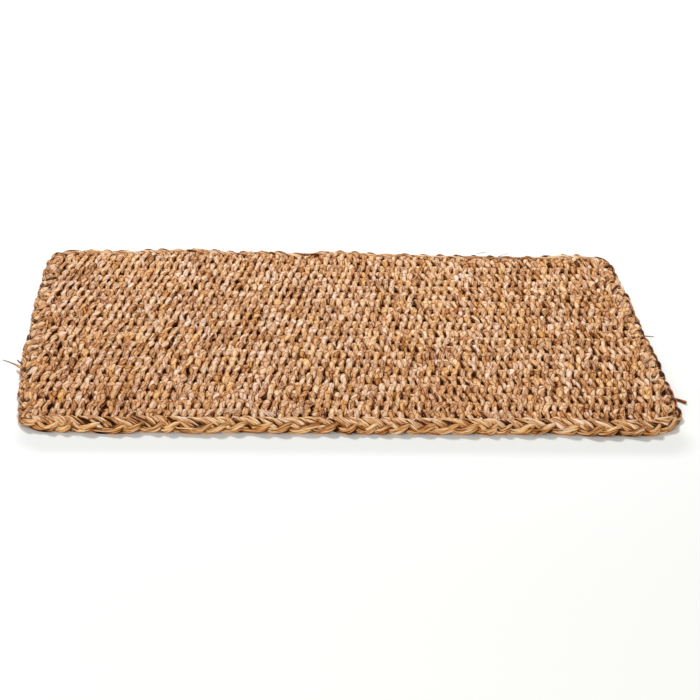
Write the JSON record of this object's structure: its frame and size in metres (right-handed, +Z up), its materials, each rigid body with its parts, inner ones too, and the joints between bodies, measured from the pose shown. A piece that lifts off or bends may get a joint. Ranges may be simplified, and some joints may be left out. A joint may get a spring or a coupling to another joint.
{
  "type": "esparto rug",
  "caption": "Rectangular floor rug woven from thick natural esparto grass cords, edged all round with a thick plait; lies flat on the floor.",
  "frame": {"origin": "middle of the rug's underside, on the floor", "axes": "+X along the long front edge to the right, +Y from the front edge to the back edge, +Z up"},
  "size_m": [1.9028, 1.2108, 0.0282],
  "materials": {
    "field_esparto": "dry straw-coloured grass cords, matte with a slight sheen",
    "plait_esparto": "golden straw strands, slightly glossy",
    "loose_straw": "single dry straws, matte"
  },
  "bodies": {
    "root": {"woven_field": "field_esparto", "border_plait": "plait_esparto", "loose_end_left_long": "loose_straw", "loose_end_left_short": "loose_straw", "loose_end_right_thick": "loose_straw", "loose_end_right_thin": "loose_straw"}
  },
  "joints": []
}
